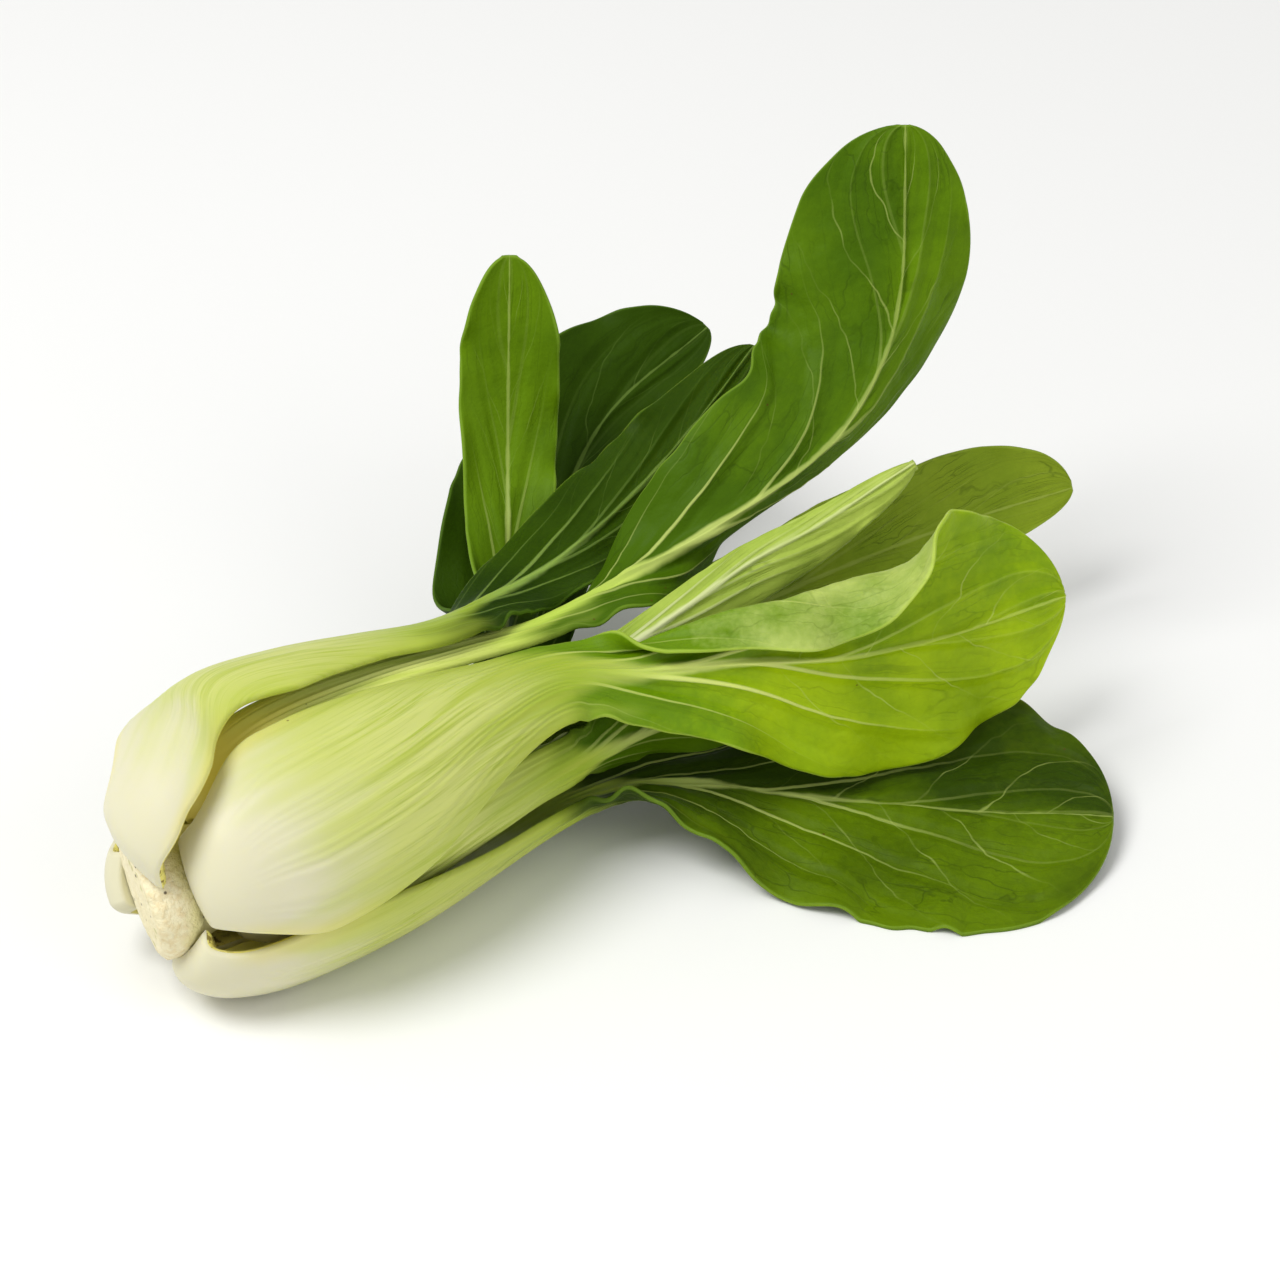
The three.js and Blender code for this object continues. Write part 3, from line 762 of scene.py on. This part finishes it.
def makeLeafGroup():
    tree = bpy.data.node_groups.new("leafSkin", "ShaderNodeTree")
    addSockets(tree, "INPUT", "Color", *stalkTints, *bladeTints["bright"])
    addSockets(tree, "INPUT", "Float", "Vein Strength", "Net Strength", "Dirt Strength", "Painted Side Shade", "Seed")
    addSockets(tree, "OUTPUT", "Color", "Colour")
    addSockets(tree, "OUTPUT", "Float", "Roughness", "Height")
    start = tree.nodes.new("NodeGroupInput")
    given = {socket.name: socket for socket in start.outputs}
    field = readFields(tree)
    along = field["along"]

    stalk, level, cloud, streakHeight = stalkSkin(tree, given, field)
    blade = bladeSkin(tree, given, field)
    clear = rise(tree, noise(tree, field["object"], skin["gaps"], 1.0), 0.4, 0.62, 0.25, 1.0)
    netMask = netOfVeins(tree, given, field, clear)
    netTint = mixColour(tree, 0.45, given["Blade Shade"], (0, 0, 0, 1))
    blade = mixColour(tree, netMask, blade, netTint)
    veinMask = sideVeins(tree, given, field)
    blade = mixColour(tree, veinMask, blade, given["Vein"])
    branch = branchVeins(tree, given, field, clear)
    blade = mixColour(tree, branch, blade, given["Vein"])

    # pale midrib running out of the stalk, and the thin pale rim
    ragged = centred(tree, noise(tree, field["object"], skin["ragged"], 2.0), 0.5)
    offCore = calc(tree, "DIVIDE", total(tree, calc(tree, "ABSOLUTE", field["reach"]), ragged), field["core"])
    green = product(tree, rise(tree, offCore, 0.3, 0.95), rise(tree, level, 0.88, 1.06))
    midribTint = mixColour(tree, rise(tree, along, 1.0, 1.3), stalk, given["Vein"])
    midribTint = mixColour(tree, rise(tree, along, 1.1, 1.7, 0.0, 0.65), midribTint, blade)
    colour = mixColour(tree, green, midribTint, blade)
    rim = product(tree, fall(tree, field["margin"], 0.1, 0.4), rise(tree, along, 1.0, 1.1), 0.5)
    colour = mixColour(tree, rim, colour, given["Rim"])
    colour = specksAndSoil(tree, given, field, colour)

    gloss = total(tree, skin["roughness"], product(tree, green, 0.16), centred(tree, cloud, 0.2),
                  product(tree, netMask, 0.1))
    cells = noise(tree, field["object"], skin["cells"], 1.0)
    height = total(tree, product(tree, netMask, green, -0.5), product(tree, cells, green, 0.3),
                   product(tree, streakHeight, calc(tree, "SUBTRACT", 1.0, green), 0.6),
                   product(tree, total(tree, veinMask, branch), green, 0.6))
    addNode(tree, "NodeGroupOutput", {"Colour": colour, "Roughness": gloss, "Height": height})
    return tree


leafGroup = makeLeafGroup()


def leafMaterial(name, leaf):
    material, tree, shader = newMaterial(name)
    # inner leaves take the tints with painted light on their shaded stalks
    stalkSet = paintedGlowTints if leaf["paintedGlow"] else stalkTints
    bladeSet = bladeTints[leaf["tints"]]
    values = {
        "Under": bladeSet["Blade"], **stalkSet, **bladeSet,
        "Vein Strength": leaf["veinTint"], "Net Strength": leaf["net"],
        "Dirt Strength": leafFinish["dirt"], "Painted Side Shade": leaf["paintedSideShade"],
        "Seed": leaf["seed"] * leafFinish["seedStep"],
    }
    colour, roughness, height = addNode(tree, "ShaderNodeGroup", values, node_tree=leafGroup).outputs
    setSurface(tree, shader, colour, roughness, height, leafFinish["bumpDepth"], leafFinish["bumpStrength"])
    plugAll(tree, shader, {
        "Specular IOR Level": bladeGloss[leaf["tints"]], "Subsurface Weight": leaf["translucency"],
        "Subsurface Radius": leafFinish["scatterRadius"], "Subsurface Scale": leafFinish["scatterScale"],
    })
    return material


usualLeaf = {
    "later": 0,  # how much further up the stump it starts than its whorl
    "sides": (1, 1),  # how much of its width the blade has on each side
    "slim": ((1, 1), (1, 1)),  # the same for the stalk: at stump and bulb on each side
    "spoon": 1,  # above 1, the blade opens more slowly
    "waves": 4,
    "scallop": 0.012,  # how far the outline swings in and out, as a share of the width
    "grid": (200, 60),  # rows and columns of points
    "curve": 0.85, "net": 0.3,
    "rib": 0.3, "vein": 0.2, "quilt": 0.3, "pucker": 0.5,  # relief, in millimetres
    # paintedGlow: stalk tints with painted light, for leaves in the shade of outer ones
    "fold": None, "paintedGlow": False, "paintedSideShade": 0.0, "translucency": 0.0,
}


def buildLeaf(node, ownValues):
    leaf = {**usualLeaf, **ownValues}
    outer, inner, fields = leafArrays(leaf)
    rows, columns = outer.shape[:2]
    points = np.vstack([outer.reshape(-1, 3), inner.reshape(-1, 3)])
    mesh = meshFrom(node + "Mesh", points, sheetFaces(rows, columns))
    for name, values in fields.items():
        storeVector(mesh, name, np.vstack([values.reshape(-1, 3)] * 2))
    ones = np.ones((rows * columns, 3))
    storeVector(mesh, "face", np.vstack([ones, -ones]))
    words = "".join(part.capitalize() for part in node.split("_")[1:])
    thing = addObject("leaf" + words, mesh)
    material = leafMaterial("skin" + words, leaf)
    applyTree(thing, reliefTree, {
        "Rib Height": leaf["rib"], "Vein Height": leaf["vein"], "Quilt Height": leaf["quilt"],
        "Pucker Height": leaf["pucker"], "Seed": leaf["seed"], "Material": material,
    })
    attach(thing, "root")
    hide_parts(node)
    print("Leaf", node, len(thing.data.polygons) * 2, "triangles")


frontSpreadLeaf = {
    "whorl": "outer", "later": 3.6, "angle": (225, 238, 248), "radius": (18.6, 13), "neckX": 69,
    "half": (16.6, 8.5, 27), "sides": (0.95, 1),
    "blade": [(84, -9, -11), (102, -22, -13.5), (122, -39, -15), (141, -55, -15)],
    "facing": (0.06, 0.22, -0.97), "cup": 0.05, "wave": 1.6, "waves": 5, "widest": 0.72, "spoon": 1.25,
    "grid": (300, 130), "seed": 1.0, "tints": "olive", "paintedSideShade": -0.65, "translucency": 0.3,
    "scallop": 0.02,
    "veins": 3.6, "sweep": 0.85, "curve": 0.8, "veinTint": 0.9, "net": 0.5,
    "rib": 0.2, "vein": 0.25, "quilt": 0.6, "pucker": 0.95,
}
buildLeaf("leaf_outer_front", frontSpreadLeaf)

topLeaf = {
    "whorl": "outer", "later": -1.8, "angle": (100, 56, 58), "radius": (26, 21), "neckX": 57,
    "half": (18.5, 7.5, 12), "slim": ((1, 0.5), (1, 1)), "sides": (0.6, 0.8),
    "blade": [(73.6, 18, 14), (87, 22, 13.2), (98.5, 26, 13.5), (118.8, 31, 20), (139, 37, 29)],
    "facing": (-0.5, -0.45, 0.75), "cup": 0.2, "wave": 1, "widest": 0.58,
    "grid": (230, 80), "seed": 2.0, "tints": "dark", "translucency": 0.3,
    "veins": 3.4, "sweep": 0.75, "veinTint": 0.55,
    "rib": 0.05, "quilt": 0.35,
}
buildLeaf("leaf_outer_top", topLeaf)

backLeaf = {
    "whorl": "outer", "later": 2.9, "angle": (325, 330, 335), "radius": (19.4, 16), "neckX": 64,
    "half": (15, 7, 18), "slim": ((1, 1), (0.3, 0.5)), "sides": (1, 0.5),
    "blade": [(84, 30, -10), (102, 45, 0), (122, 56, 12), (145, 58, 21)],
    "facing": (0.3, 0.6, -0.75), "cup": 0.3, "wave": 1.4, "widest": 0.6,
    "grid": (230, 80), "seed": 3.0, "tints": "dark",
    "veins": 4, "sweep": 0.6, "veinTint": 0.35,
    "quilt": 0.4, "pucker": 0.6,
}
buildLeaf("leaf_outer_back", backLeaf)

bigFrontLeaf = {
    "whorl": "middle", "later": -2, "angle": (145, 137, 114), "radius": (21.5, 15.5), "neckX": 68,
    "half": (17.5, 7.5, 20), "sides": (1, 1.1),
    "blade": [(81, -11, 12.5), (95, -18, 13), (111, -23, 10.3), (129, -26, 8.9), (154, -26, 7)],
    "facing": (-0.3, -0.88, 0.33), "cup": 0.2, "wave": 1.2, "waves": 5, "widest": 0.6, "spoon": 1.5,
    "fold": {"side": 1, "angle": 2.75, "from": 0.44, "to": 0.62, "after": 0.02, "until": 0.7},
    "grid": (300, 120), "seed": 4.0, "tints": "bright", "paintedSideShade": 0.35, "translucency": 0.3,
    "veins": 3.4, "sweep": 0.85, "curve": 0.75, "veinTint": 0.95, "net": 0.32,
    "rib": 0.16, "vein": 0.3, "quilt": 0.5, "pucker": 0.7,
}
buildLeaf("leaf_middle_front", bigFrontLeaf)

smallUprightLeaf = {
    "whorl": "middle", "angle": (-4, -8, 10), "radius": (14.2, 12), "neckX": 58,
    "half": (12, 6, 8.5),
    "blade": [(74, 20, 3), (86, 34, 6), (97, 49, 20), (103.5, 57, 49)],
    "facing": (0.35, 0.85, -0.4), "cup": 0.4, "wave": 1.2, "waves": 3, "widest": 0.78, "spoon": 1.2,
    "seed": 5.0, "tints": "middle",
    "veins": 4, "sweep": 0.5, "curve": 0.9, "veinTint": 0.4,
}
buildLeaf("leaf_middle_back", smallUprightLeaf)

underLeaf = {
    "whorl": "middle", "later": 1, "angle": (275, 281, 310), "radius": (11.6, 9.4), "neckX": 66,
    "half": (8.6, 5.5, 12), "sides": (0.8, 0.8),
    "blade": [(92, 17, -15.5), (114, 21, -18.1), (136, 25, -18.7), (154, 27, -18.8)],
    "facing": (0, 0, -1), "cup": 0.1, "wave": 0.8, "widest": 0.58, "spoon": 1.4,
    "seed": 6.0, "tints": "middle",
    "veins": 5, "sweep": 0.7, "veinTint": 0.5, "net": 0.35,
}
buildLeaf("leaf_middle_under", underLeaf)

innerFrontLeaf = {
    "whorl": "inner", "angle": (195, 200, 182), "radius": (14, 9), "neckX": 68,
    "half": (10, 5, 7),
    "blade": [(88, -9, 0), (106, -12, -1.5), (122, -17, -1)],
    "facing": (0.3, -0.9, 0.1), "cup": 0.5, "wave": 0.7, "waves": 3, "widest": 0.58,
    "grid": (180, 50), "seed": 7.0, "tints": "middle",
    "veins": 5, "sweep": 0.7, "veinTint": 0.6,
    "quilt": 0.2, "pucker": 0.4,
}
buildLeaf("leaf_inner_front", innerFrontLeaf)

tallLeaf = {
    "whorl": "inner", "angle": (66, 62, 60), "radius": (19.3, 15.3), "neckX": 74,
    "half": (9.2, 5, 20), "sides": (0.6, 1),
    "blade": [
        (89, 7.4, 15.8), (98, 7.2, 17.8), (107, 5.4, 21.7), (125, 4.5, 27.5), (135, 5, 33.5),
        (142.5, 6.5, 42.5), (146.5, 8.5, 53), (149, 11.5, 64.5), (151, 14.5, 76),
    ],
    "facing": (-0.55, -0.75, 0.3), "cup": 0.3, "wave": 1, "widest": 0.74,
    "fold": {"side": -1, "angle": -1.1, "from": 0, "to": 0.2, "after": 0.14, "until": 0.78},
    "grid": (330, 110), "seed": 8.0, "tints": "middle", "paintedSideShade": 0.6, "paintedGlow": True,
    "scallop": 0.028,
    "veins": 4.2, "sweep": 0.5, "curve": 0.9, "veinTint": 0.85, "net": 0.5,
    "rib": 0.25, "vein": 0.3, "quilt": 0.6, "pucker": 1.0,
}
buildLeaf("leaf_inner_upright", tallLeaf)

greyLeaf = {
    "whorl": "heart", "angle": (0, 0, 0), "radius": (7.4, 4.3), "neckX": 70,
    "half": (7.5, 4.5, 12.5), "sides": (1, 0.5),
    "blade": [(100, 8, 0), (130, 9, 1), (158, 6, 3), (180, 2, 4)],
    "facing": (0.2, 0.9, -0.4), "cup": 0.3, "wave": 1, "widest": 0.78,
    "grid": (240, 60), "seed": 9.0, "tints": "grey", "paintedGlow": True,
    "veins": 6, "sweep": 0.5, "curve": 0.9, "veinTint": 0.5, "net": 0.7,
    "rib": 0.2, "quilt": 0.35,
}
buildLeaf("leaf_inner_back", greyLeaf)

heartLeaf = {
    "whorl": "heart", "angle": (110, 105, 100), "radius": (9.5, 7.5), "neckX": 60,
    "half": (7.5, 4, 6.5), "sides": (1, 0.5),
    "blade": [
        (72, -2, 9.4), (83, -3.4, 12.6), (94, -3.6, 15.6), (106, -4, 19.4), (118, -6.5, 23.5), (135, -10, 31),
    ],
    "facing": (-0.4, -0.7, 0.6), "cup": 0.7, "wave": 0.6, "widest": 0.5,
    "seed": 10.0, "tints": "pale", "paintedGlow": True,
    "veins": 4, "sweep": 0.6, "curve": 0.9, "veinTint": 0.6, "net": 0.55,
    "rib": 0.2, "quilt": 0.25, "pucker": 0.4,
}
buildLeaf("leaf_heart", heartLeaf)
print("Leaves done")

crown = {
    "profile": [
        (-4.6, 0), (-4.6, 6), (-4.3, 8.8), (-3.4, 9.9), (-1.8, 10.2), (0.2, 9.9), (1.4, 9.3),
        (5.2, 8.6), (6.6, 7.8), (11.4, 7.2), (12.8, 5.2), (17.6, 4.6), (20.5, 3), (22, 0),
    ],
    "slant": (0.25, -0.16),
    "rings": 90, "sides": 140,
    "rag": 0.6, "ragAlong": 0.3,  # how ragged the cut rim is
    "ragWaves": (5, 9, 14, 23, 31), "ragSum": 2.5,
    "rimX": -3.6, "rimWidth": 1.6,
    "leanFrom": -0.5, "leanTo": -4.6,
    "cutFrom": -0.00053, "cutTo": -0.00333,  # metres, where the skin passes into the cut face
    "cutWobble": 0.004,
    "vesselRing": 0.0066, "vesselWobble": 0.0012, "vesselBand": (0.0004, 0.0013),
    "dryBand": (0.0072, 0.0096),  # the cut dries first at its rim
    "clouds": 160.0, "grain": 900.0, "bundles": 620.0, "specks": 330.0,  # scales of its patterns
    "bumpDepth": 0.0006,
    "body": tint(236, 228, 168), "cutFace": tint(240, 231, 194), "cloud": tint(220, 206, 150),
    "vessels": tint(178, 176, 92), "dry": tint(220, 197, 144), "speck": tint(48, 32, 18),
}


def crownMaterial():
    material, tree, shader = newMaterial("cutStump")
    place = tree.nodes.new("ShaderNodeTexCoord").outputs["Object"]
    cloud = noise(tree, place, crown["clouds"], 3.0, 0.6)
    fine = noise(tree, place, crown["grain"], 3.0, 0.6)
    x, y, z = (calc(tree, "SUBTRACT", value, shift * millimetre)
               for value, shift in zip(split(tree, place), headShift))
    unevenX = total(tree, x, centred(tree, cloud, crown["cutWobble"]))
    nearCut = rise(tree, unevenX, crown["cutFrom"], crown["cutTo"])
    colour = mixColour(tree, nearCut, crown["body"], crown["cutFace"])
    colour = mixColour(tree, rise(tree, cloud, 0.45, 0.7, 0.0, 0.35), colour, crown["cloud"])
    offAxis = calc(tree, "SQRT", total(tree, product(tree, y, y), product(tree, z, z)))
    ringAt = total(tree, crown["vesselRing"], product(tree, cloud, crown["vesselWobble"]))
    ring = calc(tree, "ABSOLUTE", calc(tree, "SUBTRACT", offAxis, ringAt))
    vessels = product(tree, fall(tree, ring, *crown["vesselBand"]),
                      fall(tree, voronoi(tree, place, crown["bundles"]), 0.2, 0.5), nearCut, 0.6)
    colour = mixColour(tree, vessels, colour, crown["vessels"])
    rim = product(tree, rise(tree, offAxis, *crown["dryBand"]), nearCut, rise(tree, fine, 0.4, 0.6))
    dry = total(tree, product(tree, rise(tree, fine, 0.5, 0.7), nearCut, 0.2), product(tree, rim, 0.4))
    colour = mixColour(tree, dry, colour, crown["dry"])
    speck = fall(tree, voronoi(tree, place, crown["specks"]), 0.08, 0.13)
    colour = mixColour(tree, product(tree, speck, 0.85), colour, crown["speck"])
    roughness = total(tree, 0.6, product(tree, fine, 0.3))
    setSurface(tree, shader, colour, roughness, total(tree, fine, cloud), crown["bumpDepth"])
    return material


def buildCrown():
    profile = np.array(crown["profile"], float)
    lengths = np.concatenate([[0], np.cumsum(np.linalg.norm(np.diff(profile, axis=0), axis=1))])
    marks = np.linspace(0, lengths[-1], crown["rings"] + 1)[1:-1]
    x = np.interp(marks, lengths, profile[:, 0])
    radius = np.interp(marks, lengths, profile[:, 1])
    angle = np.linspace(0, 2 * math.pi, crown["sides"], endpoint=False)
    rag = sum(np.sin(angle * n + n * n) / n**0.5 for n in crown["ragWaves"]) / crown["ragSum"]
    rim = np.exp(-((x - crown["rimX"]) / crown["rimWidth"]) ** 2)
    ragged = crown["rag"] * rag[None] * rim[:, None]
    xs = x[:, None] - crown["ragAlong"] * ragged
    rs = radius[:, None] + ragged
    ys, zs = rs * np.cos(angle), rs * np.sin(angle)
    lean = crown["slant"][0] * ys + crown["slant"][1] * zs
    xs = xs + lean * smooth(crown["leanFrom"], crown["leanTo"], xs)
    ring = np.stack([xs, ys, zs], axis=2).reshape(-1, 3)
    poles = np.array([[profile[0, 0], 0, 0], [profile[-1, 0], 0, 0]])
    points = np.vstack([ring, poles]) + headShift
    rings, sides = len(x), crown["sides"]
    i, j = np.meshgrid(np.arange(rings - 1), np.arange(sides), indexing="ij")
    a = (i * sides + j).ravel()
    b = (i * sides + (j + 1) % sides).ravel()
    faces = np.column_stack([a, b, b + sides, a + sides]).tolist()
    last = (rings - 1) * sides
    for j in range(sides):
        following = (j + 1) % sides
        faces.append([rings * sides, following, j])
        faces.append([rings * sides + 1, last + j, last + following])
    mesh = bpy.data.meshes.new("crownMesh")
    mesh.from_pydata([tuple(p) for p in points * millimetre], [], faces)
    mesh.validate()
    mesh.shade_smooth()
    mesh.materials.append(crownMaterial())
    thing = addObject("crownCut", mesh)
    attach(thing, "root")
    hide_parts("crown")


buildCrown()
print("Crown done")

studio = {
    "floorTint": tint(244, 244, 242), "floorHalf": 4.0,
    "world": 0.5,
    "lights": {
        "key": {"place": (-0.75, 0.1, 1.2), "size": 0.8, "power": 15.0},
        "fill": {"place": (0.3, -1.2, 0.7), "size": 1.2, "power": 4.0},
    },
    "lightTarget": (0, 0, 0.03),
    "cameraPlace": (-0.3612, -0.4974, 0.4374),
    "cameraTarget": (-0.001, -0.006, 0.033),
    "viewAngle": 15.6, "sensorWidth": 36,
}


def makeFloor():
    mesh = bpy.data.meshes.new("floorMesh")
    r = studio["floorHalf"]
    mesh.from_pydata([(-r, -r, 0), (r, -r, 0), (r, r, 0), (-r, r, 0)], [], [(0, 1, 2, 3)])
    material, tree, shader = newMaterial("paleFloor")
    plugAll(tree, shader, {"Base Color": studio["floorTint"], "Roughness": 0.5})
    mesh.materials.append(material)
    addObject("floor", mesh)


def softLight(name, place, size, power):
    data = bpy.data.lights.new(name, "AREA")
    data.shape = "DISK"
    data.size = size
    data.energy = power
    light = addObject(name, data)
    light.location = place
    aim = Vector(studio["lightTarget"]) - light.location
    light.rotation_euler = aim.to_track_quat("-Z", "Y").to_euler()


def makeCamera():
    data = bpy.data.cameras.new("camera")
    data.sensor_width = studio["sensorWidth"]
    data.lens = data.sensor_width / 2 / math.tan(math.radians(studio["viewAngle"] / 2))
    data.clip_start = 0.01
    camera = addObject("camera", data)
    camera.location = studio["cameraPlace"]
    aim = Vector(studio["cameraTarget"]) - camera.location
    camera.rotation_euler = aim.to_track_quat("-Z", "Y").to_euler()
    bpy.context.scene.camera = camera


makeFloor()
for name, light in studio["lights"].items():
    softLight(name, **light)
makeCamera()
world = bpy.data.worlds.new("studioWorld")
world.use_nodes = True
background = world.node_tree.nodes["Background"]
plugAll(world.node_tree, background, {"Color": (1, 1, 1, 1), "Strength": studio["world"]})
bpy.context.scene.world = world
bpy.context.scene.view_settings.view_transform = "Standard"
print("Stage done")
